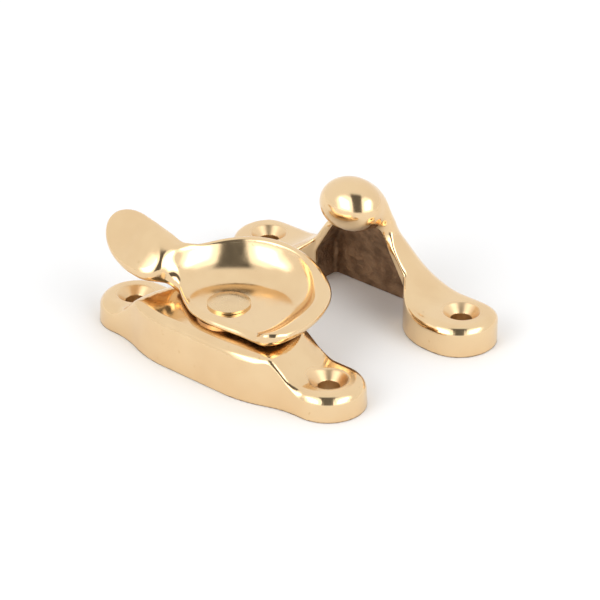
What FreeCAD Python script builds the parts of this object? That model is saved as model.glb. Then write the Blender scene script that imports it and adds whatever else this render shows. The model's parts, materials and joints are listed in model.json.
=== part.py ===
import FreeCAD, Part
import math
import os
import Sketcher

# Window sash lock: a cam fastener for one sash and its hooked keep for the other.
# Frame: millimetres, +Z up from the mounting face, +X along the plates, +Y from the
# fastener towards the keep. The origin lies under the cam's pivot on the mounting face.

os.makedirs("parts", exist_ok=True)
doc = FreeCAD.newDocument("window_sash_lock")

SIZES = {
    # fixing screws, the same in both plates
    "hole_spacing": 51.0, "hole_radius": 2.1, "countersink_radius": 3.75,
    "countersink_over": 1.4, "tool_reach": 40.0,
    # base plate
    "base_half_length": 33.0, "base_back": 7.6, "base_foot_front": 8.4,
    "base_foot_height": 5.5, "base_corner": 8.0, "waist_x": 21.5, "waist_front": 8.85,
    "belly_x": 12.5, "belly_front": 11.5, "belly_round": 30.0, "belly_height": 10.1,
    "base_edge_round": 1.2, "ramp_axis_front": 6.0, "ramp_shoulder": 17.7,
    "ramp_foot": 22.3, "shoulder_round": 3.0, "cove_round": 4.0,
    "hollow_radius": 6.2, "hollow_depth": 5.5,
    "bore_radius": 2.55,
    # pivot rivet and its washers
    "shank_radius": 2.5, "head_radius": 4.25, "head_rim": 0.45, "head_height": 1.0,
    "tail_radius": 3.7, "tail_chamfer": 0.9, "tail_height": 1.7, "washer_gap": 0.05,
    "thrust_radius": 6.5, "thrust_bore": 2.6, "backing_radius": 5.4,
    "backing_thickness": 1.2, "spring_radius": 5.6, "spring_bore": 2.8,
    "spring_sheet": 0.5, "spring_height": 1.1,
    # cam with its thumb leaf
    "cam_underside": 10.6, "cam_floor": 12.3, "cam_offset_x": 2.0, "cam_offset_y": 0.2,
    "cam_radius": 18.0, "rim_top": 18.8, "rim_width": 1.8, "rim_round": 0.85,
    "bowl_round": 4.6, "bowl_outer_round": 5.0, "rim_low": 14.3, "rim_slope_x": 4.0,
    "rim_slope_end": 22.0, "cut_front": 6.8, "cut_right": 18.6, "cut_left": 5.0,
    "neck_x": 13.4, "neck_front": 0.6, "leaf_tip": 32.3, "leaf_half_width": 5.8,
    "leaf_corner": 5.7, "leaf_shoulder_x": 24.0, "leaf_shoulder_round": 8.0,
    "leaf_waist_x": 18.5, "leaf_waist_half_width": 3.5, "leaf_root_x": 12.5, "leaf_root_half_width": 2.8, "leaf_thickness": 2.4,
    "leaf_height": 17.5, "leaf_tilt": 44.0, "leaf_edge_round": 0.9,
    # keep, measured from midway between its holes
    "keep_x": 3.4, "keep_y": 35.9, "keep_half_length": 32.6, "keep_back": 7.7,
    "keep_front": 7.9, "keep_corner": 7.7, "keep_foot_height": 6.5, "flank_x": 16.7,
    "flank_round": 13.0, "arch_front": 1.3, "arch_front_x": 12.1, "arch_corner": 0.8,
    "bell_foot_x": 14.2, "bell_foot_round": 12.0, "bell_shoulder_x": 7.6,
    "bell_shoulder_z": 18.0, "crown_x": 7.0, "crown_top": 25.8, "crown_round": 5.8,
    "lean_foot_z": 5.5, "lean_top_z": 21.5, "lean_top_y": 2.3, "lean_round": 6.0,
    "recess_x": 12.3, "recess_side_z": 7.6, "recess_shoulder_x": 6.6,
    "recess_shoulder_z": 16.8, "recess_top_x": 6.2, "recess_top": 19.4,
    "recess_round": 1.5, "recess_wall": 5.2, "recess_lean_z": 7.5,
    "recess_wall_top": 1.1, "ball_radius": 5.3, "ball_front": 5.3, "ball_height": 23.0,
    "neck_radius": 3.0, "neck_length": 6.0,
}

sheet = doc.addObject("Spreadsheet::Sheet", "Sizes")
for row, (alias, number) in enumerate(SIZES.items(), start=1):
    sheet.set("A%d" % row, alias)
    sheet.set("B%d" % row, str(number))
    sheet.setAlias("B%d" % row, alias)
doc.recompute()

VERTICAL = FreeCAD.Vector(0, 0, 1)
PLAN = FreeCAD.Rotation()
FRONT = FreeCAD.Rotation(FreeCAD.Vector(1, 0, 0), 90)
SIDE = FreeCAD.Rotation(FreeCAD.Vector(1, 1, 1), 120)
SHARP = "0"
TOUCH = 1e-6


def read(expression):
    """The present value of an expression in the sheet's aliases."""
    return float(sheet.evalExpression(expression))


def dimension(sketch, kind, references, expression):
    """Add a driving dimension that follows an expression."""
    index = sketch.addConstraint(Sketcher.Constraint(kind, *references, read(expression)))
    sketch.setExpression("Constraints[%d]" % index, expression)


def fix_point(sketch, geometry, point, x, y):
    """Hold a point of the sketch at two expressions."""
    dimension(sketch, "DistanceX", (-1, 1, geometry, point), x)
    dimension(sketch, "DistanceY", (-1, 1, geometry, point), y)


def corner_arc(previous, corner, following, radius):
    """The arc of a radius that is tangent to both sides of a corner."""
    back = (previous - corner).normalize()
    forward = (following - corner).normalize()
    half_angle = back.getAngle(forward) / 2
    middle_line = (back + forward).normalize()
    centre = corner + middle_line * (radius / math.sin(half_angle))
    reach = radius / math.tan(half_angle)
    return Part.Arc(corner + back * reach, centre - middle_line * radius,
                    corner + forward * reach)


def rounded_outline(sketch, corners):
    """Close an outline through corners (x, y, radius), each rounded tangent to its sides."""
    count = len(corners)
    points = [FreeCAD.Vector(read(x), read(y), 0) for x, y, _ in corners]
    arcs = []
    for i, (_, _, radius) in enumerate(corners):
        arc = None
        if radius != SHARP:
            arc = corner_arc(points[i - 1], points[i], points[(i + 1) % count], read(radius))
        arcs.append(arc)
    enters = [points[i] if arc is None else arc.StartPoint for i, arc in enumerate(arcs)]
    leaves = [points[i] if arc is None else arc.EndPoint for i, arc in enumerate(arcs)]
    lines = [sketch.addGeometry(Part.LineSegment(leaves[i], enters[(i + 1) % count]))
             for i in range(count)]
    for i, (x, y, radius) in enumerate(corners):
        before, after = lines[i - 1], lines[i]
        if arcs[i] is None:
            sketch.addConstraint(Sketcher.Constraint("Coincident", before, 2, after, 1))
            fix_point(sketch, after, 1, x, y)
            continue
        arc = sketch.addGeometry(arcs[i])
        starts_here = sketch.getPoint(arc, 1).distanceToPoint(enters[i]) < TOUCH
        near, far = (1, 2) if starts_here else (2, 1)
        sketch.addConstraint(Sketcher.Constraint("Tangent", before, 2, arc, near))
        sketch.addConstraint(Sketcher.Constraint("Tangent", arc, far, after, 1))
        dimension(sketch, "Radius", (arc,), radius)
        apex = sketch.addGeometry(Part.Point(points[i]), True)
        sketch.addConstraint(Sketcher.Constraint("PointOnObject", apex, 1, before))
        sketch.addConstraint(Sketcher.Constraint("PointOnObject", apex, 1, after))
        fix_point(sketch, apex, 1, x, y)


def mirrored(corners):
    """The corners with their mirror images across x = 0, in one closed order."""
    other = [("-(%s)" % x, y, radius) for x, y, radius in reversed(corners)]
    return corners + other


def add_circle(sketch, x, y, radius):
    """A circle held by its centre and radius."""
    circle = sketch.addGeometry(Part.Circle(FreeCAD.Vector(read(x), read(y), 0), VERTICAL,
                                            read(radius)))
    fix_point(sketch, circle, 3, x, y)
    dimension(sketch, "Radius", (circle,), radius)


def new_body(name):
    """An empty PartDesign body whose label names its file."""
    body = doc.addObject("PartDesign::Body", name + "_body")
    body.Label = name
    return body


def body_plane(body, role):
    """One of the body's own origin planes or axes."""
    return [item for item in body.Origin.OriginFeatures if item.Role == role][0]


def body_sketch(body, name, role, offset=None):
    """A sketch on one of the body's origin planes, moved along its normal by an expression."""
    sketch = body.newObject("Sketcher::SketchObject", name)
    sketch.AttachmentSupport = [(body_plane(body, role), "")]
    sketch.MapMode = "FlatFace"
    if offset is not None:
        sketch.setExpression(".AttachmentOffset.Base.z", offset)
    doc.recompute()
    return sketch


def body_feature(body, kind, name, sketch):
    """A sketch-based feature of a body."""
    feature = body.newObject("PartDesign::" + kind, name)
    feature.Profile = sketch
    return feature


def extruded(name, rotation, corners, low, high, shift=("0", "0", "0")):
    """A straight solid: a sketched outline in a view, extruded between two levels."""
    sketch = doc.addObject("Sketcher::SketchObject", name + "_outline")
    sketch.Placement = FreeCAD.Placement(FreeCAD.Vector(0, 0, 0), rotation)
    rounded_outline(sketch, corners)
    solid = doc.addObject("Part::Extrusion", name)
    solid.Base = sketch
    solid.DirMode = "Normal"
    solid.Solid = True
    solid.setExpression("LengthFwd", high)
    solid.setExpression("LengthRev", "-(%s)" % low)
    for axis, expression in zip("xyz", shift):
        solid.setExpression(".Placement.Base." + axis, expression)
    return solid


def boolean(kind, name, shapes):
    """A Part boolean: Cut takes two shapes, MultiFuse and MultiCommon take many."""
    result = doc.addObject("Part::" + kind, name)
    if kind == "Cut":
        result.Base, result.Tool = shapes
    else:
        result.Shapes = shapes
    return result


def primitive(kind, name, sizes, base=("0", "0", "0"), rotation=PLAN):
    """A Part primitive with its sizes and place tied to the sheet."""
    solid = doc.addObject("Part::" + kind, name)
    solid.Placement = FreeCAD.Placement(FreeCAD.Vector(0, 0, 0), rotation)
    for prop, expression in sizes.items():
        solid.setExpression(prop, expression)
    for axis, expression in zip("xyz", base):
        solid.setExpression(".Placement.Base." + axis, expression)
    return solid


def is_wall(face):
    """Whether a face stands upright."""
    low_u, high_u, low_v, high_v = face.ParameterRange
    return abs(face.normalAt((low_u + high_u) / 2, (low_v + high_v) / 2).z) < 0.01


def upper_rim(shape):
    """Numbers of the edges between an upright wall and a surface above it."""
    numbers = []
    for index, edge in enumerate(shape.Edges, start=1):
        faces = shape.ancestorsOfType(edge, Part.Face)
        walls = [face for face in faces if is_wall(face)]
        if len(faces) == 2 and len(walls) == 1 and edge.BoundBox.ZMin > TOUCH:
            numbers.append(index)
    return numbers


# ---- base plate: a cast plate with a raised belly that carries the pivot

def make_base_plate():
    body = new_body("base_plate")
    outline = body_sketch(body, "base_outline", "XY_Plane")
    rounded_outline(outline, [
        ("Sizes.base_half_length", "Sizes.base_back", "Sizes.base_corner"),
        ("-Sizes.base_half_length", "Sizes.base_back", "Sizes.base_corner"),
        ("-Sizes.base_half_length", "-Sizes.base_foot_front", "Sizes.base_corner"),
        ("-Sizes.waist_x", "-Sizes.waist_front", "Sizes.belly_round"),
        ("-Sizes.belly_x", "-Sizes.belly_front", "Sizes.belly_round"),
        ("Sizes.belly_x", "-Sizes.belly_front", "Sizes.belly_round"),
        ("Sizes.waist_x", "-Sizes.waist_front", "Sizes.belly_round"),
        ("Sizes.base_half_length", "-Sizes.base_foot_front", "Sizes.base_corner"),
    ])
    plate = body_feature(body, "Pad", "base_block", outline)
    plate.setExpression("Length", "Sizes.belly_height")
    doc.recompute()

    # both ramps are one cove turned about an upright axis in front of the pivot
    cove = body_sketch(body, "ramp_profile", "XZ_Plane", "Sizes.ramp_axis_front")
    rounded_outline(cove, [
        ("Sizes.ramp_shoulder", "Sizes.belly_height", "Sizes.shoulder_round"),
        ("Sizes.ramp_foot", "Sizes.base_foot_height", "Sizes.cove_round"),
        ("Sizes.tool_reach", "Sizes.base_foot_height", SHARP),
        ("Sizes.tool_reach", "2 * Sizes.belly_height", SHARP),
        ("Sizes.shoulder_round", "2 * Sizes.belly_height", SHARP),
        ("Sizes.shoulder_round", "Sizes.belly_height", SHARP),
    ])
    ramps = body_feature(body, "Groove", "ramps", cove)
    ramps.ReferenceAxis = (cove, ["V_Axis"])
    ramps.Angle = 360
    doc.recompute()

    rounds = body.newObject("PartDesign::Fillet", "top_rounds")
    rounds.Base = (ramps, ["Edge%d" % number for number in upper_rim(ramps.Shape)])
    rounds.setExpression("Radius", "Sizes.base_edge_round")
    doc.recompute()

    hollow = body_sketch(body, "hollow_circle", "XY_Plane")
    add_circle(hollow, "0", "0", "Sizes.hollow_radius")
    cut_up(body, "underside_hollow", hollow, "Sizes.hollow_depth")
    bore = body_sketch(body, "bore_circle", "XY_Plane")
    add_circle(bore, "0", "0", "Sizes.bore_radius")
    cut_up(body, "pivot_bore", bore, "Sizes.tool_reach")
    countersunk_holes(body, "Sizes.base_foot_height")
    return body


def cut_up(body, name, sketch, depth):
    """A pocket that rises from the mounting face."""
    pocket = body_feature(body, "Pocket", name, sketch)
    pocket.Reversed = True
    pocket.setExpression("Length", depth)
    doc.recompute()
    return pocket


def countersunk_holes(body, foot_height):
    """A countersunk screw hole at each end: one groove and its mirror image."""
    hole = body_sketch(body, body.Label + "_hole_profile", "XZ_Plane")
    centre = "Sizes.hole_spacing / 2"
    over = "Sizes.countersink_over"
    rounded_outline(hole, [
        (centre, "-1", SHARP),
        (centre + " + Sizes.hole_radius", "-1", SHARP),
        (centre + " + Sizes.hole_radius",
         foot_height + " - Sizes.countersink_radius + Sizes.hole_radius", SHARP),
        (centre + " + Sizes.countersink_radius + " + over, foot_height + " + " + over, SHARP),
        (centre + " + Sizes.countersink_radius + " + over, "Sizes.tool_reach", SHARP),
        (centre, "Sizes.tool_reach", SHARP),
    ])
    axis = hole.addGeometry(Part.LineSegment(FreeCAD.Vector(read(centre), 0, 0),
                                             FreeCAD.Vector(read(centre), 1, 0)), True)
    fix_point(hole, axis, 1, centre, "0")
    fix_point(hole, axis, 2, centre, "1")
    groove = body_feature(body, "Groove", body.Label + "_hole", hole)
    groove.ReferenceAxis = (hole, ["Axis0"])
    groove.Angle = 360
    doc.recompute()
    other = body.newObject("PartDesign::Mirrored", body.Label + "_other_hole")
    other.Originals = [groove]
    other.MirrorPlane = (body_plane(body, "YZ_Plane"), [""])
    body.Tip = other
    doc.recompute()


# ---- turned pieces of the pivot

def turned(name, corners):
    """A body turned about the pivot axis from half of its section."""
    body = new_body(name)
    section = body_sketch(body, name + "_section", "XZ_Plane")
    rounded_outline(section, corners)
    turn = body_feature(body, "Revolution", name + "_turning", section)
    turn.ReferenceAxis = (section, ["V_Axis"])
    turn.Angle = 360
    doc.recompute()
    return body


def make_pivot_rivet():
    """Domed head on the cam's floor, a plain shank, and the tail peened over its washer."""
    tail_top = "(Sizes.hollow_depth - Sizes.spring_height - 2 * Sizes.washer_gap" \
               " - Sizes.backing_thickness)"
    return turned("pivot_rivet", [
        ("0", tail_top + " - Sizes.tail_height", SHARP),
        ("Sizes.tail_radius - Sizes.tail_chamfer", tail_top + " - Sizes.tail_height", SHARP),
        ("Sizes.tail_radius", tail_top + " - Sizes.tail_height + Sizes.tail_chamfer", SHARP),
        ("Sizes.tail_radius", tail_top, SHARP),
        ("Sizes.shank_radius", tail_top, SHARP),
        ("Sizes.shank_radius", "Sizes.cam_floor", SHARP),
        ("Sizes.head_radius", "Sizes.cam_floor", SHARP),
        ("Sizes.head_radius", "Sizes.cam_floor + Sizes.head_rim", SHARP),
        ("0.6 * Sizes.head_radius", "Sizes.cam_floor + Sizes.head_height",
         "2 * Sizes.head_radius"),
        ("0", "Sizes.cam_floor + Sizes.head_height", SHARP),
    ])


def make_backing_washer():
    """Flat washer that the rivet's tail is peened against."""
    top = "(Sizes.hollow_depth - Sizes.spring_height - 2 * Sizes.washer_gap)"
    bottom = top + " - Sizes.backing_thickness"
    return turned("backing_washer", [
        ("Sizes.shank_radius", bottom, SHARP), ("Sizes.backing_radius", bottom, SHARP),
        ("Sizes.backing_radius", top, SHARP), ("Sizes.shank_radius", top, SHARP),
    ])


def make_spring_washer():
    """Cupped spring washer under the casting's roof: it gives the cam its drag."""
    top = "(Sizes.hollow_depth - Sizes.washer_gap)"
    bottom = top + " - Sizes.spring_height"
    return turned("spring_washer", [
        ("Sizes.spring_bore", top + " - Sizes.spring_sheet", SHARP),
        ("Sizes.spring_radius", bottom, SHARP),
        ("Sizes.spring_radius", bottom + " + Sizes.spring_sheet", SHARP),
        ("Sizes.spring_bore", top, SHARP),
    ])


def make_thrust_washer():
    """Thin washer that the cam turns on."""
    bottom = "Sizes.belly_height"
    top = "Sizes.cam_underside - Sizes.washer_gap"
    return turned("thrust_washer", [
        ("Sizes.thrust_bore", bottom, SHARP), ("Sizes.thrust_radius", bottom, SHARP),
        ("Sizes.thrust_radius", top, SHARP), ("Sizes.thrust_bore", top, SHARP),
    ])


# ---- cam lever: one casting with an off-centre dish, its rim, and a tilted thumb leaf

def make_cam_lever():
    bowl = doc.addObject("Sketcher::SketchObject", "bowl_section")
    bowl.Placement = FreeCAD.Placement(FreeCAD.Vector(0, 0, 0), FRONT)
    rounded_outline(bowl, [
        ("0", "Sizes.cam_underside", SHARP),
        ("Sizes.cam_radius", "Sizes.cam_underside", "Sizes.bowl_outer_round"),
        ("Sizes.cam_radius", "Sizes.rim_top", "Sizes.rim_round"),
        ("Sizes.cam_radius - Sizes.rim_width", "Sizes.rim_top", "Sizes.rim_round"),
        ("Sizes.cam_radius - Sizes.rim_width", "Sizes.cam_floor", "Sizes.bowl_round"),
        ("0", "Sizes.cam_floor", SHARP),
    ])
    dish = doc.addObject("Part::Revolution", "dish")
    dish.Source = bowl
    dish.Axis = VERTICAL
    dish.Angle = 360
    dish.Solid = True
    dish.setExpression(".Placement.Base.x", "Sizes.cam_offset_x")
    dish.setExpression(".Placement.Base.y", "Sizes.cam_offset_y")
    kept_side = extruded("kept_side", PLAN, [
        ("-Sizes.cut_left", "-Sizes.cut_front", "2 * Sizes.cut_left"),
        ("Sizes.cut_right", "-Sizes.cut_front", "Sizes.cut_left / 2"),
        ("Sizes.tool_reach", "0", SHARP),
        ("Sizes.tool_reach", "Sizes.tool_reach", SHARP),
        ("-Sizes.tool_reach", "Sizes.tool_reach", SHARP),
        ("-1.6 * Sizes.neck_x", "3 * Sizes.neck_front", SHARP),
        ("-Sizes.neck_x", "-Sizes.neck_front", SHARP),
    ], "0", "Sizes.tool_reach")
    sloping_rim = extruded("sloping_rim", FRONT, [
        ("-Sizes.tool_reach", "0", SHARP), ("Sizes.tool_reach", "0", SHARP),
        ("Sizes.tool_reach", "Sizes.rim_low", SHARP),
        ("Sizes.rim_slope_end", "Sizes.rim_low", SHARP),
        ("Sizes.rim_slope_x", "Sizes.rim_top + 0.1", SHARP),
        ("-Sizes.tool_reach", "Sizes.rim_top + 0.1", SHARP),
    ], "-Sizes.tool_reach", "Sizes.tool_reach")
    cut_dish = boolean("MultiCommon", "cut_dish", [dish, kept_side, sloping_rim])

    upper_side = [
        ("-Sizes.leaf_root_x", "Sizes.leaf_root_half_width", SHARP),
        ("-Sizes.leaf_waist_x", "Sizes.leaf_waist_half_width", "Sizes.cam_radius"),
        ("-Sizes.leaf_shoulder_x", "Sizes.leaf_half_width", "Sizes.leaf_shoulder_round"),
        ("-Sizes.leaf_tip", "Sizes.leaf_half_width", "Sizes.leaf_corner"),
    ]
    lower_side = [(x, "-(%s)" % y, radius) for x, y, radius in reversed(upper_side)]
    leaf_sheet = extruded("leaf_sheet", PLAN, upper_side + lower_side,
                          "-Sizes.leaf_thickness / 2", "Sizes.leaf_thickness / 2")
    doc.recompute()
    leaf = doc.addObject("Part::Fillet", "leaf")
    leaf.Base = leaf_sheet
    leaf.Edges = [(index, read("Sizes.leaf_edge_round"), read("Sizes.leaf_edge_round"))
                  for index, edge in enumerate(leaf_sheet.Shape.Edges, start=1)
                  if edge.BoundBox.ZLength < 0.01 and edge.BoundBox.XLength > 0.01]
    leaf.Placement = FreeCAD.Placement(FreeCAD.Vector(0, 0, read("Sizes.leaf_height")),
                                       FreeCAD.Rotation(FreeCAD.Vector(1, 0, 0),
                                                        read("Sizes.leaf_tilt")))
    casting = boolean("MultiFuse", "cam_casting", [cut_dish, leaf])
    rivet_hole = primitive("Cylinder", "rivet_hole", {
        "Radius": "Sizes.shank_radius", "Height": "Sizes.tool_reach"})
    cam = boolean("Cut", "cam_lever_solid", [casting, rivet_hole])
    cam.Label = "cam_lever"
    doc.recompute()
    return cam


# ---- keep: a bell-shaped casting with a ball nose over its open recess

def make_keep():
    shift = ("Sizes.keep_x", "Sizes.keep_y", "0")
    bell = extruded("bell", FRONT, mirrored([
        ("Sizes.tool_reach", "0", SHARP),
        ("Sizes.tool_reach", "Sizes.keep_foot_height", SHARP),
        ("Sizes.bell_foot_x", "Sizes.keep_foot_height", "Sizes.bell_foot_round"),
        ("Sizes.bell_shoulder_x", "Sizes.bell_shoulder_z", "Sizes.bell_foot_round"),
        ("Sizes.crown_x", "Sizes.crown_top", "Sizes.crown_round"),
    ]), "-Sizes.tool_reach", "Sizes.tool_reach", shift)
    plan = extruded("keep_plan", PLAN, mirrored([
        ("Sizes.arch_front_x", "-Sizes.arch_front", "Sizes.arch_corner"),
        ("Sizes.flank_x", "-Sizes.keep_front", "Sizes.flank_round"),
        ("Sizes.keep_half_length", "-Sizes.keep_front", "Sizes.keep_corner"),
        ("Sizes.keep_half_length", "Sizes.keep_back", "Sizes.keep_corner"),
    ]), "0", "Sizes.tool_reach", shift)
    lean = extruded("lean", SIDE, [
        ("-Sizes.tool_reach", "0", SHARP), ("Sizes.keep_back", "0", SHARP),
        ("Sizes.keep_back", "Sizes.lean_foot_z", "Sizes.lean_round"),
        ("Sizes.lean_top_y", "Sizes.lean_top_z", "Sizes.lean_round"),
        ("Sizes.lean_top_y", "Sizes.tool_reach", SHARP),
        ("-Sizes.tool_reach", "Sizes.tool_reach", SHARP),
    ], "-Sizes.tool_reach", "Sizes.tool_reach", shift)
    block = boolean("MultiCommon", "keep_block", [bell, plan, lean])

    recess_front = extruded("recess_front", FRONT, mirrored([
        ("Sizes.recess_x", "-1", SHARP),
        ("Sizes.recess_x", "Sizes.recess_side_z", "Sizes.recess_round"),
        ("Sizes.recess_shoulder_x", "Sizes.recess_shoulder_z", "Sizes.crown_round"),
        ("Sizes.recess_top_x", "Sizes.recess_top", "Sizes.recess_round"),
    ]), "-Sizes.tool_reach", "Sizes.tool_reach", shift)
    recess_side = extruded("recess_side", SIDE, [
        ("-Sizes.tool_reach", "-1", SHARP), ("Sizes.recess_wall", "-1", SHARP),
        ("Sizes.recess_wall", "Sizes.recess_lean_z", "Sizes.lean_round"),
        ("Sizes.recess_wall_top", "Sizes.recess_top", SHARP),
        ("-Sizes.tool_reach", "Sizes.recess_top", SHARP),
    ], "-Sizes.tool_reach", "Sizes.tool_reach", shift)
    throat = boolean("MultiCommon", "throat", [recess_front, recess_side])
    arch = boolean("Cut", "arch", [block, throat])

    ball = primitive("Sphere", "ball", {"Radius": "Sizes.ball_radius"}, (
        "Sizes.keep_x", "Sizes.keep_y - Sizes.ball_front", "Sizes.ball_height"))
    neck = primitive("Cylinder", "neck", {
        "Radius": "Sizes.neck_radius", "Height": "Sizes.neck_length"}, (
        "Sizes.keep_x", "Sizes.keep_y - Sizes.ball_front + Sizes.neck_length",
        "Sizes.ball_height"), FRONT)
    casting = boolean("MultiFuse", "keep_casting", [arch, ball, neck])

    cutters = []
    for side in ("left", "right"):
        sign = "-" if side == "left" else "+"
        place = ("Sizes.keep_x %s Sizes.hole_spacing / 2" % sign, "Sizes.keep_y")
        cutters.append(primitive("Cylinder", side + "_keep_hole", {
            "Radius": "Sizes.hole_radius", "Height": "Sizes.tool_reach"},
            place + ("-1",)))
        cutters.append(primitive("Cone", side + "_keep_countersink", {
            "Radius1": "Sizes.hole_radius",
            "Radius2": "Sizes.countersink_radius + Sizes.countersink_over",
            "Height": "Sizes.countersink_radius + Sizes.countersink_over"
                      " - Sizes.hole_radius"},
            place + ("Sizes.keep_foot_height + Sizes.hole_radius"
                     " - Sizes.countersink_radius",)))
    holes = boolean("MultiFuse", "keep_holes", cutters)
    keep = boolean("Cut", "keep_solid", [casting, holes])
    keep.Label = "keep"
    doc.recompute()
    return keep


PIECES = [make_base_plate(), make_thrust_washer(), make_spring_washer(),
          make_backing_washer(), make_pivot_rivet(), make_cam_lever(), make_keep()]
doc.recompute()

for item in doc.Objects:
    if "Invalid" in item.State or "Error" in item.State:
        raise RuntimeError("%s failed: %s" % (item.Name, item.State))
for piece in PIECES:
    shape = piece.Shape
    if shape.isNull() or not shape.isValid() or len(shape.Solids) != 1:
        raise RuntimeError("%s is not one valid solid" % piece.Label)
    shape.exportStep("parts/%s.step" % piece.Label)
    box = shape.BoundBox
    print("%-15s %9.1f mm3  x %.1f..%.1f  y %.1f..%.1f  z %.1f..%.1f" % (
        piece.Label, shape.Volume, box.XMin, box.XMax, box.YMin, box.YMax, box.ZMin, box.ZMax))
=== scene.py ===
import json
import math

import bpy
import numpy as np
import openvdb
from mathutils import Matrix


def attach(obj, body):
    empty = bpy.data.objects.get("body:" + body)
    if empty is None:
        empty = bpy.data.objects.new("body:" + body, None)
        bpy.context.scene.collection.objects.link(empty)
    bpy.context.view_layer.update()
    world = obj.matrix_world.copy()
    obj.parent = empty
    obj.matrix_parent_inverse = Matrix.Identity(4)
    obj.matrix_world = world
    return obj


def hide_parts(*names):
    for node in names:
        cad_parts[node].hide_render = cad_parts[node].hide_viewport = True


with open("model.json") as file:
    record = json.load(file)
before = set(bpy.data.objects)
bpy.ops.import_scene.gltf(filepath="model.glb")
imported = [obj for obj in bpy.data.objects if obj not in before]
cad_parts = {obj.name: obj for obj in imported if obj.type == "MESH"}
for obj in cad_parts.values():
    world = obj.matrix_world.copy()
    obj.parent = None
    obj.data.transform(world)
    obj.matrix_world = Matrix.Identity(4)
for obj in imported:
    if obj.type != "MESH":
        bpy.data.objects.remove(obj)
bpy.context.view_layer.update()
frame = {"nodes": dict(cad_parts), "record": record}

MM = 0.001
mounts = {mount["name"]: mount for mount in frame["record"]["mounts"]}
HALF_SPACING = mounts["base_screws"]["dims"]["spacing_x_mm"] / 2
HOLE_RADIUS = mounts["base_screws"]["dims"]["hole_r_mm"]
KEEP_X, KEEP_Y, _ = [value / MM for value in mounts["keep_screws"]["pos_m"]]


# ---- camera, floor and light

CAMERA_AZIMUTH = 41.44
CAMERA_ELEVATION = 28.7
CAMERA_DISTANCE = 0.5284
CAMERA_TARGET = (-0.00565, 0.02707, 0)
LENS = 156
FLOOR_HALF_SIZE = 3.0
FLOOR_WHITE = 0.86


def add_camera():
    """Put the camera on a sphere round its target, looking at the target along its own -Z."""
    turn, lift = math.radians(CAMERA_AZIMUTH), math.radians(CAMERA_ELEVATION)
    away = (math.sin(turn) * math.cos(lift), -math.cos(turn) * math.cos(lift), math.sin(lift))
    lens = bpy.data.cameras.new("camera")
    lens.lens = LENS
    lens.clip_start = 0.01
    camera = bpy.data.objects.new("camera", lens)
    bpy.context.scene.collection.objects.link(camera)
    camera.location = [t + CAMERA_DISTANCE * a for t, a in zip(CAMERA_TARGET, away)]
    camera.rotation_euler = (math.radians(90 - CAMERA_ELEVATION), 0, turn)
    bpy.context.scene.camera = camera


def add_floor():
    """A matt white sheet under the object."""
    mesh = bpy.data.meshes.new("floor")
    size = FLOOR_HALF_SIZE
    mesh.from_pydata([(-size, -size, 0), (size, -size, 0), (size, size, 0), (-size, size, 0)],
                     [], [(0, 1, 2, 3)])
    paper = bpy.data.materials.new("floor_paper")
    paper.use_nodes = True
    shader = paper.node_tree.nodes["Principled BSDF"]
    shader.inputs["Base Color"].default_value = (FLOOR_WHITE, FLOOR_WHITE, FLOOR_WHITE, 1)
    shader.inputs["Roughness"].default_value = 0.9
    mesh.materials.append(paper)
    floor = bpy.data.objects.new("floor", mesh)
    bpy.context.scene.collection.objects.link(floor)


class Nodes:
    """Short ways to add nodes to one node tree."""

    def __init__(self, tree):
        self.tree = tree

    def add(self, kind, **settings):
        node = self.tree.nodes.new("ShaderNode" + kind)
        for name, value in settings.items():
            setattr(node, name, value)
        return node

    def plug(self, value, socket):
        if isinstance(value, bpy.types.NodeSocket):
            self.tree.links.new(value, socket)
        else:
            socket.default_value = value

    def math(self, operation, *values):
        node = self.add("Math", operation=operation)
        for value, socket in zip(values, node.inputs):
            self.plug(value, socket)
        return node.outputs[0]

    def ramp(self, value, low, high, out_low=0.0, out_high=1.0):
        """Smooth step from one value to another."""
        node = self.add("MapRange", interpolation_type="SMOOTHSTEP")
        for socket, number in zip(node.inputs, [value, low, high, out_low, out_high]):
            self.plug(number, socket)
        return node.outputs[0]


GAP_HALF_WIDTH = 16
GAP_DIMMING = -0.86
BOX_SIDE = 40
BOX_HALF_WIDTH = 24
BOX_HALF_HEIGHT = 33
BOX_ELEVATION = 27
BOX_RIM_POWER = 0.7
BOX_CORE_POWER = 2.2
BOX_CORE_SIZE = 0.55


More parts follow.
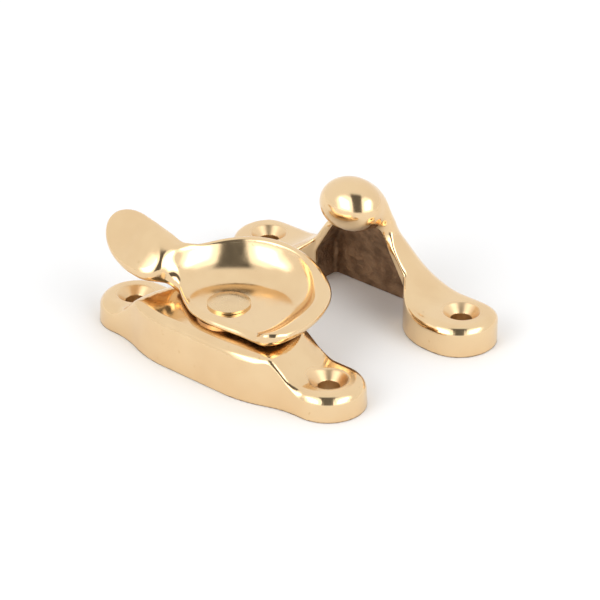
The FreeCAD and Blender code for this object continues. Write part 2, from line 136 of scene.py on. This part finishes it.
def add_world():
    """A white tent with two softboxes beside the camera and the dark opening between them."""
    world = bpy.data.worlds.new("studio")
    bpy.context.scene.world = world
    world.use_nodes = True
    nodes = Nodes(world.node_tree)
    background = world.node_tree.nodes["Background"]
    background.inputs["Color"].default_value = (1, 1, 1, 1)
    split = nodes.add("SeparateXYZ")
    nodes.plug(nodes.add("TexCoord").outputs["Generated"], split.inputs[0])
    x, y, z = split.outputs
    turn = math.radians(CAMERA_AZIMUTH)
    right = nodes.math("ADD", nodes.math("MULTIPLY", x, math.cos(turn)),
                       nodes.math("MULTIPLY", y, math.sin(turn)))
    front = nodes.math("SUBTRACT", nodes.math("MULTIPLY", x, math.sin(turn)),
                       nodes.math("MULTIPLY", y, math.cos(turn)))
    sideways = nodes.math("ARCSINE", right)
    elevation = nodes.math("ARCSINE", z)
    ahead = nodes.ramp(front, 0.05, 0.3)

    def panel(side, half_side, middle, half_height, soft):
        """A soft-edged panel on the camera's side of the sky, in degrees from straight ahead."""
        lit = ahead
        for value, centre, half in [(sideways, side, half_side), (elevation, middle, half_height)]:
            size = nodes.math("ABSOLUTE", nodes.math("SUBTRACT", value, math.radians(centre)))
            edge = nodes.ramp(size, math.radians(half - soft), math.radians(half + soft), 1.0, 0.0)
            lit = nodes.math("MULTIPLY", lit, edge)
        return lit

    gap = panel(0, GAP_HALF_WIDTH, 40, 50, 3)
    strength = nodes.math("ADD", nodes.math("MULTIPLY", gap, GAP_DIMMING), 1.0)
    for side in (-BOX_SIDE, BOX_SIDE):
        for size, power in [(1.0, BOX_RIM_POWER), (BOX_CORE_SIZE, BOX_CORE_POWER)]:
            box = panel(side, BOX_HALF_WIDTH * size, BOX_ELEVATION, BOX_HALF_HEIGHT * size, 3 / size)
            strength = nodes.math("ADD", strength, nodes.math("MULTIPLY", box, power))
    mix = nodes.add("Mix")
    nodes.plug(nodes.add("LightPath").outputs["Is Camera Ray"], mix.inputs["Factor"])
    nodes.plug(strength, mix.inputs["A"])
    mix.inputs["B"].default_value = 1.0
    nodes.plug(mix.outputs["Result"], background.inputs["Strength"])


bpy.context.scene.view_settings.view_transform = "Standard"
add_camera()
add_floor()
add_world()


# ---- signed-distance fields, in millimetres: negative inside

def round_max(a, b, radius):
    """Intersection of two fields with a rounded edge."""
    over_a = np.maximum(a + radius, 0)
    over_b = np.maximum(b + radius, 0)
    return np.minimum(np.maximum(a, b), -radius) + np.sqrt(over_a ** 2 + over_b ** 2)


def blend_min(a, b, width):
    """Union of two fields that flow into each other over a width."""
    share = np.clip(0.5 + 0.5 * (b - a) / width, 0, 1)
    return b + (a - b) * share - width * share * (1 - share)


def rounded_outline(corners, step=0.15):
    """Points of a closed outline through corners (x, y, radius), each round a tangent arc."""
    points = []
    count = len(corners)
    places = [np.array(corner[:2], float) for corner in corners]
    for i, (_, _, radius) in enumerate(corners):
        corner = places[i]
        back = places[i - 1] - corner
        forward = places[(i + 1) % count] - corner
        back /= np.hypot(*back)
        forward /= np.hypot(*forward)
        if radius == 0:
            points.append(corner)
            continue
        half = math.acos(np.clip(back @ forward, -1, 1)) / 2
        middle = (back + forward) / np.hypot(*(back + forward))
        centre = corner + middle * radius / math.sin(half)
        sweep = math.pi - 2 * half
        steps = max(3, int(math.ceil(radius * sweep / (4 * step))))
        start = corner + back * radius / math.tan(half) - centre
        turn = math.copysign(sweep, -(back[0] * forward[1] - back[1] * forward[0]))
        for k in range(steps + 1):
            angle = turn * k / steps
            points.append(centre + np.array([
                start[0] * math.cos(angle) - start[1] * math.sin(angle),
                start[0] * math.sin(angle) + start[1] * math.cos(angle)]))
    return np.array(points)


def outline_distance(u, v, outline):
    """Signed distance in a plane to a closed outline."""
    u, v = np.broadcast_arrays(u, v)
    best = np.full(u.shape, np.inf)
    inside = np.zeros(u.shape, bool)
    for start, end in zip(outline, np.roll(outline, -1, axis=0)):
        du, dv = end - start
        length = du * du + dv * dv
        if length < 1e-12:
            continue
        along = np.clip(((u - start[0]) * du + (v - start[1]) * dv) / length, 0, 1)
        gap = (u - start[0] - along * du) ** 2 + (v - start[1] - along * dv) ** 2
        best = np.minimum(best, gap)
        if dv != 0:
            crosses = (start[1] > v) != (end[1] > v)
            inside ^= crosses & (u < start[0] + (v - start[1]) * du / dv)
    return np.where(inside, -1, 1) * np.sqrt(best)


def mirror(corners):
    """The corners with their mirror images across x = 0."""
    return corners + [(-x, y, radius) for x, y, radius in reversed(corners)]


def countersunk_hole(x, y, z, foot_height):
    """Field of a countersunk screw hole about the z axis, its cone no wider than the cutter."""
    across = np.hypot(x, y)
    start = foot_height - COUNTERSINK_RADIUS + HOLE_RADIUS
    cone = (across - HOLE_RADIUS - (z - start)) * math.sqrt(0.5)
    cutter = across - COUNTERSINK_RADIUS - CUTTER_MARGIN
    return np.minimum(across - HOLE_RADIUS, np.maximum(cone, cutter))


def screw_holes(x, y, z, foot_height):
    """Field of a casting's two countersunk holes, alike on both sides of x = 0."""
    return countersunk_hole(np.abs(x) - HALF_SPACING, y, z, foot_height)


def periodic(angle, table):
    """Smooth periodic curve through (degrees, value) pairs, read at an angle in radians."""
    knots = np.array([pair[0] for pair in table], float)
    values = np.array([pair[1] for pair in table], float)
    count = len(knots)
    slopes = np.array([
        (values[(i + 1) % count] - values[i - 1])
        / ((knots[(i + 1) % count] - knots[i - 1]) % 360) for i in range(count)])
    turned = (np.degrees(angle) - knots[0]) % 360
    spans = np.append(knots - knots[0], 360)
    index = np.clip(np.searchsorted(spans, turned, side="right") - 1, 0, count - 1)
    width = np.diff(spans)[index]
    t = (turned - spans[index]) / width
    after = (index + 1) % count
    return ((1 + 2 * t) * (1 - t) ** 2 * values[index] + t * (1 - t) ** 2 * width * slopes[index]
            + t * t * (3 - 2 * t) * values[after] - t * t * (1 - t) * width * slopes[after])


def curve(position, table):
    """Smooth curve through (position, value) pairs, level beyond its ends."""
    knots = np.array([pair[0] for pair in table], float)
    values = np.array([pair[1] for pair in table], float)
    slopes = np.gradient(values, knots)
    slopes[0] = slopes[-1] = 0
    clipped = np.clip(position, knots[0], knots[-1])
    index = np.clip(np.searchsorted(knots, clipped, side="right") - 1, 0, len(knots) - 2)
    width = np.diff(knots)[index]
    t = (clipped - knots[index]) / width
    return ((1 + 2 * t) * (1 - t) ** 2 * values[index] + t * (1 - t) ** 2 * width * slopes[index]
            + t * t * (3 - 2 * t) * values[index + 1]
            - t * t * (1 - t) * width * slopes[index + 1])


# ---- meshes from fields

def gradient(field, points, reach=0.01):
    """Field values at points, and the field's slope there."""
    x, y, z = points.T
    value = field(x, y, z)
    slope = np.stack([
        field(x + reach, y, z) - field(x - reach, y, z),
        field(x, y + reach, z) - field(x, y - reach, z),
        field(x, y, z + reach) - field(x, y, z - reach)], axis=1) / (2 * reach)
    return value, slope


def mesh_of_field(name, field, low, high, cell, shift, marks):
    """A closed smooth mesh where the field is zero, its points settled on the surface.

    Marks are named fields whose values from 0 to 1 tell the materials where a finish lies."""
    low, high = np.array(low, float), np.array(high, float)
    axes = [np.arange(a, b + cell, cell) for a, b in zip(low, high)]
    x, y, z = np.meshgrid(*axes, indexing="ij", sparse=True)
    values = field(x, y, z)
    grid = openvdb.FloatGrid(background=1.0)
    grid.copyFromArray(np.ascontiguousarray(np.clip(values, -1, 1), dtype=np.float32))
    points, quads = grid.convertToQuads()
    points = low + points.astype(float) * cell
    for _ in range(3):
        value, slope = gradient(field, points)
        step = value / np.maximum((slope ** 2).sum(1), 0.25)
        points -= np.clip(step, -cell / 2, cell / 2)[:, None] * slope
    _, slope = gradient(field, points)
    normals = slope / np.maximum(np.linalg.norm(slope, axis=1), 1e-9)[:, None]
    first = points[quads]
    facing = np.cross(first[:, 2] - first[:, 0], first[:, 3] - first[:, 1])
    if (facing * normals[quads[:, 0]]).sum() < 0:
        quads = quads[:, ::-1]
    mesh = bpy.data.meshes.new(name)
    mesh.from_pydata(((points + np.array(shift)) * MM).tolist(), [], quads.tolist())
    mesh.shade_smooth()
    mesh.normals_split_custom_set_from_vertices(normals.tolist())
    for mark, rule in marks.items():
        values = mesh.attributes.new(mark, "FLOAT", "POINT")
        values.data.foreach_set("value", rule(*points.T).astype(np.float32))
    piece = bpy.data.objects.new(name, mesh)
    bpy.context.scene.collection.objects.link(piece)
    return piece


# ---- shapes of the three castings, in millimetres

COUNTERSINK_RADIUS = 3.75
CUTTER_MARGIN = 0.6
CRISP = 0.18
UNDERSIDE_ROUND = 0.25

BASE_BACK = 7.5
BASE_FOOT_HEIGHT = 5.5
BELLY_HEIGHT = 10.1
RAMP_AXIS_FRONT = 6.0
BASE_DRAFT = 0.05
HOLLOW_RADIUS = 6.2
HOLLOW_DEPTH = 5.5
BORE_RADIUS = 2.55

base_outline = rounded_outline(mirror([
    (32.8, BASE_BACK, 7.5), (32.8, -7.6, 7.6), (20.8, -7.6, 20.0), (12.3, -10.8, 25.0)]))
ramp_outline = rounded_outline([
    (0, -5, 0), (0, BELLY_HEIGHT, 0), (17.7, BELLY_HEIGHT, 3.0),
    (22.3, BASE_FOOT_HEIGHT, 4.5), (60, BASE_FOOT_HEIGHT, 0), (60, -5, 0)])


def base_field(x, y, z):
    """The base plate: a drafted slab with low feet, a raised belly and the pivot's bore."""
    walls = outline_distance(x, y, base_outline) + BASE_DRAFT * np.maximum(z, 0)
    ramp = outline_distance(np.hypot(x, y + RAMP_AXIS_FRONT), z, ramp_outline)
    edge = curve(np.hypot(x, y + RAMP_AXIS_FRONT), [(15, 1.8), (18, 0.8), (22, 0.8), (25, 2.1)])
    field = round_max(walls, ramp, edge)
    field = round_max(field, -z, UNDERSIDE_ROUND)
    field = round_max(field, -screw_holes(x, y, z, BASE_FOOT_HEIGHT), CRISP)
    pivot = np.hypot(x, y)
    hollow = np.maximum(pivot - HOLLOW_RADIUS, z - HOLLOW_DEPTH)
    return round_max(field, -np.minimum(hollow, pivot - BORE_RADIUS), CRISP)


CAM_UNDERSIDE = 10.6
CAM_FLOOR = 12.3
SHANK_RADIUS = 2.5
DISH_FOOT_ROUND = 4.5
LIP_ROUND = 0.8
NECK_BLEND = 3.5
DISH_BLEND = 2.2
# the dish round the pivot, as (degrees, millimetres)
RIM_RADIUS = [(-60, 18.8), (-15, 19.1), (10, 19.2), (28, 19.6), (45, 20.0), (62, 19.2),
              (78, 18.3), (95, 18.0), (125, 16.9), (150, 16.2), (180, 15.9), (220, 16.5),
              (260, 18)]
RIM_TOP = [(-60, 13.6), (-15, 13.8), (5, 14.1), (25, 14.7), (45, 15.8), (62, 17.3),
           (78, 18.3), (95, 18.7), (115, 18.8), (130, 18.5), (150, 18.0), (175, 18.0),
           (220, 18.0), (260, 16)]
RIM_ROUND = [(-60, 2.4), (10, 2.4), (45, 2.2), (75, 1.5), (100, 1.1), (150, 1.0), (220, 1.0),
             (260, 2.0)]
CAVITY_RADIUS = [(-60, 14.9), (-15, 15.0), (10, 15.0), (41, 16.8), (65, 16.9), (90, 16.1),
                 (120, 15.3), (150, 15.0), (180, 15.3), (220, 15.3), (260, 15)]
CAVITY_ROUND = [(-60, 3.0), (0, 3.0), (30, 4.0), (60, 6.0), (90, 7.5), (180, 7.5), (220, 7.0),
                (260, 4.0)]
CAVITY_EDGE = [(-60, 1.6), (30, 1.5), (60, 0.9), (90, 0.5), (150, 0.5), (175, 1.2), (260, 1.2)]
# the dish's open front, as (x, y)
FRONT_EDGE = [(-16.5, 0.6), (-15.5, 0.3), (-13.3, -0.6), (-10.9, -2.3), (-7.8, -4.3),
              (-4.8, -5.9), (-2, -6.6), (1.5, -6.9), (5, -6.7), (8.6, -6.4), (12, -6.4),
              (14.9, -6.2), (16.4, -5.3), (18.4, -3.2)]
# about the cosine of the front edge's slope, which turns a run along y into a distance
FRONT_SCALE = 0.85
NECK_START, NECK_END = -23.0, -12.5
# corners (x, y, z) of the neck's four edges
NECK = {
    "low_front": [(-23, -3.4, 14.9), (-19, -4.1, 13.9), (-15.5, -2.9, 12.8), (-12.5, -1.2, 11.4)],
    "high_front": [(-23, 1.4, 19.9), (-19, 0.3, 19.3), (-15.5, 0.1, 18.2), (-12.5, 0.2, 17.0)],
    "high_back": [(-23, 3.2, 19.4), (-19, 4.5, 19.3), (-15.5, 4.9, 18.3), (-12.5, 5.3, 18.2)],
    "low_back": [(-23, -1.8, 14.0), (-19, -0.8, 11.7), (-15.5, 3.5, 10.6), (-12.5, 4.2, 10.4)],
}
LEAF_CENTRE = (-24.84, -0.2, 17.29)
LEAF_TILT = math.radians(44.2)
LEAF_SKEW = math.radians(20.6)
LEAF_TIP_LENGTH = 8.9
LEAF_ROOT_LENGTH = 9.5
LEAF_HALF_WIDTH = 5.3
LEAF_THICKNESS = 2.4
LEAF_EDGE_ROUND = 1.15


def beyond_edge(y, z, start, end):
    """Distance past the line from start to end, positive on its left."""
    run, rise = end[0] - start[0], end[1] - start[1]
    return ((z - start[1]) * run - (y - start[0]) * rise) / np.hypot(run, rise)


def ellipsoid_distance(offsets, radii):
    """About the signed distance to an ellipse or ellipsoid with these half-lengths."""
    near = np.sqrt(sum((offset / radius) ** 2 for offset, radius in zip(offsets, radii)))
    slope = np.sqrt(sum((offset / radius ** 2) ** 2 for offset, radius in zip(offsets, radii)))
    return near * (near - 1) / np.maximum(slope, 1e-6)


def leaf_field(x, y, z):
    """The oval thumb leaf, an egg-shaped plate with a full round edge."""
    dx, dy, dz = x - LEAF_CENTRE[0], y - LEAF_CENTRE[1], z - LEAF_CENTRE[2]
    rise = dy * math.cos(LEAF_TILT) + dz * math.sin(LEAF_TILT)
    through = dz * math.cos(LEAF_TILT) - dy * math.sin(LEAF_TILT)
    along = dx * math.cos(LEAF_SKEW) - rise * math.sin(LEAF_SKEW)
    across = rise * math.cos(LEAF_SKEW) + dx * math.sin(LEAF_SKEW)
    length = np.where(along < 0, LEAF_TIP_LENGTH, LEAF_ROOT_LENGTH)
    oval = ellipsoid_distance((along, across), (length, LEAF_HALF_WIDTH))
    return round_max(oval, np.abs(through) - LEAF_THICKNESS / 2, LEAF_EDGE_ROUND)


def neck_field(x, y, z):
    """The lever's neck, a twisted bar between the dish wall and the leaf."""
    corner = {name: (curve(x, [(place, side) for place, side, _ in table]),
                     curve(x, [(place, height) for place, _, height in table]))
              for name, table in NECK.items()}
    front = beyond_edge(y, z, corner["low_front"], corner["high_front"])
    top = beyond_edge(y, z, corner["high_front"], corner["high_back"])
    back = beyond_edge(y, z, corner["high_back"], corner["low_back"])
    bottom = beyond_edge(y, z, corner["low_back"], corner["low_front"])
    field = round_max(round_max(front, top, 1.5), round_max(back, bottom, 1.0), 0.9)
    return round_max(field, np.maximum(x - NECK_END, NECK_START - x), 0.5)


def cam_field(x, y, z):
    """The dish with its spiral rim, cut off along its front, and the lever that joins it."""
    across = np.hypot(x, y)
    angle = np.arctan2(y, x)
    rim = across - periodic(angle, RIM_RADIUS)
    outer = round_max(rim, CAM_UNDERSIDE - z, DISH_FOOT_ROUND)
    outer = round_max(outer, z - periodic(angle, RIM_TOP), periodic(angle, RIM_ROUND))
    front = (curve(x, FRONT_EDGE) - y) * FRONT_SCALE
    field = round_max(outer, front, LIP_ROUND)
    lever = blend_min(leaf_field(x, y, z), neck_field(x, y, z), NECK_BLEND)
    field = blend_min(field, lever, DISH_BLEND)
    cavity = round_max(across - periodic(angle, CAVITY_RADIUS), CAM_FLOOR - z,
                       periodic(angle, CAVITY_ROUND))
    field = round_max(field, -cavity, periodic(angle, CAVITY_EDGE))
    return round_max(field, SHANK_RADIUS - across, CRISP)


ARCH_FRONT = -1.3
KEEP_FOOT_HEIGHT = 6.5
KNOB_CENTRE = (0, -3.6, 22.9)
KNOB_RADII = (6.9, 5.7, 5.4)
KNOB_BLEND = 3.0
LEAN_ROUND = 2.8
RECESS_ROUND = 0.8
RECESS_EDGE = 0.4

bell_outline = rounded_outline(mirror([
    (60, -5, 0), (60, KEEP_FOOT_HEIGHT, 0), (14.5, KEEP_FOOT_HEIGHT, 12.0), (7.5, 17.0, 5.0),
    (6.9, 24.6, 6.6)]))
keep_outline = rounded_outline(mirror([
    (11.8, ARCH_FRONT, 0.8), (16.7, -7.9, 13.0), (32.6, -7.9, 7.7), (32.6, 7.7, 7.7)]))
lean_outline = rounded_outline([
    (-60, -5, 0), (7.7, -5, 0), (7.7, 5.5, 6.0), (2.3, 21.5, 6.0), (2.3, 60, 0), (-60, 60, 0)])
recess_outline = rounded_outline(mirror([
    (11.6, -5, 0), (11.6, 7.4, 1.5), (5.9, 16.8, 5.8), (5.0, 19.4, 3.0)]))
recess_depth = rounded_outline([
    (-60, -5, 0), (5.2, -5, 0), (5.2, 7.5, 6.0), (1.1, 19.4, 0.0), (0.5, 60, 0), (-60, 60, 0)])


def recess_field(x, y, z):
    """The hollow in the keep's front that the cam's rim passes through."""
    return round_max(outline_distance(x, z, recess_outline),
                     outline_distance(y, z, recess_depth), RECESS_ROUND)


def knob_field(x, y, z):
    """The rounded nose that the cam draws in, an ellipsoid."""
    offsets = [value - middle for value, middle in zip((x, y, z), KNOB_CENTRE)]
    return ellipsoid_distance(offsets, KNOB_RADII)


def keep_field(x, y, z):
    """The keep: two feet and a leaning bell arch, hollowed in front, with the knob on top."""
    edge = curve(np.abs(x), [(6.5, 2.6), (8.5, 0.9), (13, 1.0), (18, 1.8), (33, 1.9)])
    field = round_max(outline_distance(x, z, bell_outline),
                      outline_distance(x, y, keep_outline), edge)
    field = round_max(field, outline_distance(y, z, lean_outline), LEAN_ROUND)
    field = round_max(field, -recess_field(x, y, z), RECESS_EDGE)
    field = blend_min(field, knob_field(x, y, z), KNOB_BLEND)
    field = round_max(field, -z, UNDERSIDE_ROUND)
    return round_max(field, -screw_holes(x, y, z, KEEP_FOOT_HEIGHT), CRISP)


# ---- where the castings keep a rougher finish, from 0 to 1

def fade(distance, near, far):
    """1 where the distance is under near, falling to 0 at far."""
    return np.clip((far - distance) / (far - near), 0, 1)


def base_cast(x, y, z):
    """The base plate's underside and the hollow that holds the rivet's tail."""
    wall = fade(np.hypot(x, y), HOLLOW_RADIUS + 0.1, HOLLOW_RADIUS + 0.4)
    roof = fade(z, HOLLOW_DEPTH + 0.1, HOLLOW_DEPTH + 0.3)
    return np.maximum(fade(z, 0.05, 0.3), wall * roof)


def cam_cast(x, y, z):
    """The dish's underside, but not the thumb leaf."""
    return fade(z, CAM_UNDERSIDE + 0.05, CAM_UNDERSIDE + 0.4) * fade(-x, 14, 16)


def keep_cast(x, y, z):
    """The keep's underside and its recess."""
    recess = fade(np.abs(recess_field(x, y, z)), 0.15, 0.4) * fade(ARCH_FRONT - y, -1.0, -0.4)
    return np.maximum(fade(z, 0.05, 0.3), recess)


def machined_in(foot_height):
    """The rule for countersinks cut in feet of a height."""
    def machined(x, y, z):
        return fade(np.abs(screw_holes(x, y, z, foot_height)), 0.1, 0.3)
    return machined


# ---- materials

RAW_LIGHT = (0.40, 0.26, 0.16)
RAW_DARK = (0.22, 0.135, 0.08)
RAW_ROUGHNESS = 0.42
MACHINED_ROUGHNESS = 0.2


def metal(name, colour, dark, roughness, blur):
    """Polished metal with faint buffing marks; the cast and machined marks roughen it."""
    material = bpy.data.materials.new(name)
    material.use_nodes = True
    nodes = Nodes(material.node_tree)
    shader = material.node_tree.nodes["Principled BSDF"]
    shader.inputs["Metallic"].default_value = 1
    place = nodes.add("TexCoord").outputs["Object"]
    cast = nodes.add("Attribute", attribute_name="cast").outputs["Fac"]
    machined = nodes.add("Attribute", attribute_name="machined").outputs["Fac"]

    def noise(scale, detail, stretch=(1, 1, 1), turn=(0, 0, 0)):
        mapping = nodes.add("Mapping")
        nodes.plug(place, mapping.inputs["Vector"])
        mapping.inputs["Scale"].default_value = stretch
        mapping.inputs["Rotation"].default_value = turn
        texture = nodes.add("TexNoise")
        nodes.plug(mapping.outputs[0], texture.inputs["Vector"])
        texture.inputs["Scale"].default_value = scale
        texture.inputs["Detail"].default_value = detail
        return texture.outputs["Fac"]

    def blend(share, first, second):
        node = nodes.add("Mix", data_type="RGBA")
        nodes.plug(share, node.inputs[0])
        nodes.plug(first, node.inputs[6])
        nodes.plug(second, node.inputs[7])
        return node.outputs[2]

    clouds = nodes.ramp(noise(130, 2), 0.35, 0.7)
    streaks = nodes.ramp(noise(520, 4, (1, 1, 0.12), (0.5, 0.3, 0)), 0.35, 0.65)
    grains = noise(1400, 5)
    blotches = nodes.ramp(noise(420, 4), 0.3, 0.7)
    specks = nodes.ramp(noise(900, 1), 0.73, 0.78)
    scratches = noise(2600, 3, (1, 0.08, 1), (0.2, 0.1, 0.6))

    worn = nodes.math("MAXIMUM", nodes.math("MULTIPLY", clouds, 0.35),
                      nodes.math("MULTIPLY", specks, 0.8))
    bright = blend(worn, (*colour, 1), (*dark, 1))
    raw = blend(blotches, (*RAW_LIGHT, 1), (*RAW_DARK, 1))
    nodes.plug(blend(cast, bright, raw), shader.inputs["Base Color"])

    smooth = nodes.math("MULTIPLY_ADD", streaks, blur, roughness)
    turned = nodes.math("MULTIPLY_ADD", machined, MACHINED_ROUGHNESS, smooth)
    mixed = nodes.add("Mix")
    nodes.plug(cast, mixed.inputs["Factor"])
    nodes.plug(turned, mixed.inputs["A"])
    nodes.plug(nodes.math("MULTIPLY_ADD", grains, 0.3, RAW_ROUGHNESS), mixed.inputs["B"])
    nodes.plug(mixed.outputs["Result"], shader.inputs["Roughness"])

    fine = nodes.add("Bump")
    fine.inputs["Strength"].default_value = 0.06
    fine.inputs["Distance"].default_value = 0.00005
    nodes.plug(scratches, fine.inputs["Height"])
    coarse = nodes.add("Bump")
    coarse.inputs["Distance"].default_value = 0.0003
    nodes.plug(nodes.math("MULTIPLY", cast, 0.7), coarse.inputs["Strength"])
    nodes.plug(nodes.math("ADD", grains, blotches), coarse.inputs["Height"])
    nodes.plug(fine.outputs["Normal"], coarse.inputs["Normal"])
    nodes.plug(coarse.outputs["Normal"], shader.inputs["Normal"])
    return material


polished = metal("polished_brass", (0.84, 0.62, 0.366), (0.74, 0.50, 0.27), 0.11, 0.06)
rivet_metal = metal("rivet_brass", (0.80, 0.60, 0.36), (0.68, 0.47, 0.26), 0.26, 0.08)
bronze = metal("bronze", (0.66, 0.42, 0.24), (0.45, 0.27, 0.14), 0.3, 0.15)


# ---- the pieces, each on its body

CELL = 0.3


def add_casting(name, node, body, field, box, marks, shift=(0, 0, 0)):
    """Mesh a casting inside a box of two corners and hide the CAD node that it stands for."""
    piece = mesh_of_field(name, field, *box, CELL, shift, marks)
    piece.data.materials.append(polished)
    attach(piece, body)
    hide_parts(node)


add_casting("base_casting", "base_plate", "fastener_base", base_field,
            [(-34, -12.5, -0.9), (34, 8.5, 11)],
            {"cast": base_cast, "machined": machined_in(BASE_FOOT_HEIGHT)})
add_casting("cam_casting", "cam_lever", "cam", cam_field,
            [(-34.5, -9.5, 9.8), (22, 21, 24)], {"cast": cam_cast})
add_casting("keep_casting", "keep", "keep_half", keep_field,
            [(-33.5, -11.5, -0.9), (33.5, 8.5, 29.5)],
            {"cast": keep_cast, "machined": machined_in(KEEP_FOOT_HEIGHT)}, (KEEP_X, KEEP_Y, 0))

for node, finish in [("pivot_rivet", rivet_metal), ("backing_washer", rivet_metal),
                     ("thrust_washer", bronze), ("spring_washer", bronze)]:
    item = frame["nodes"][node]
    item.data.materials.clear()
    item.data.materials.append(finish)
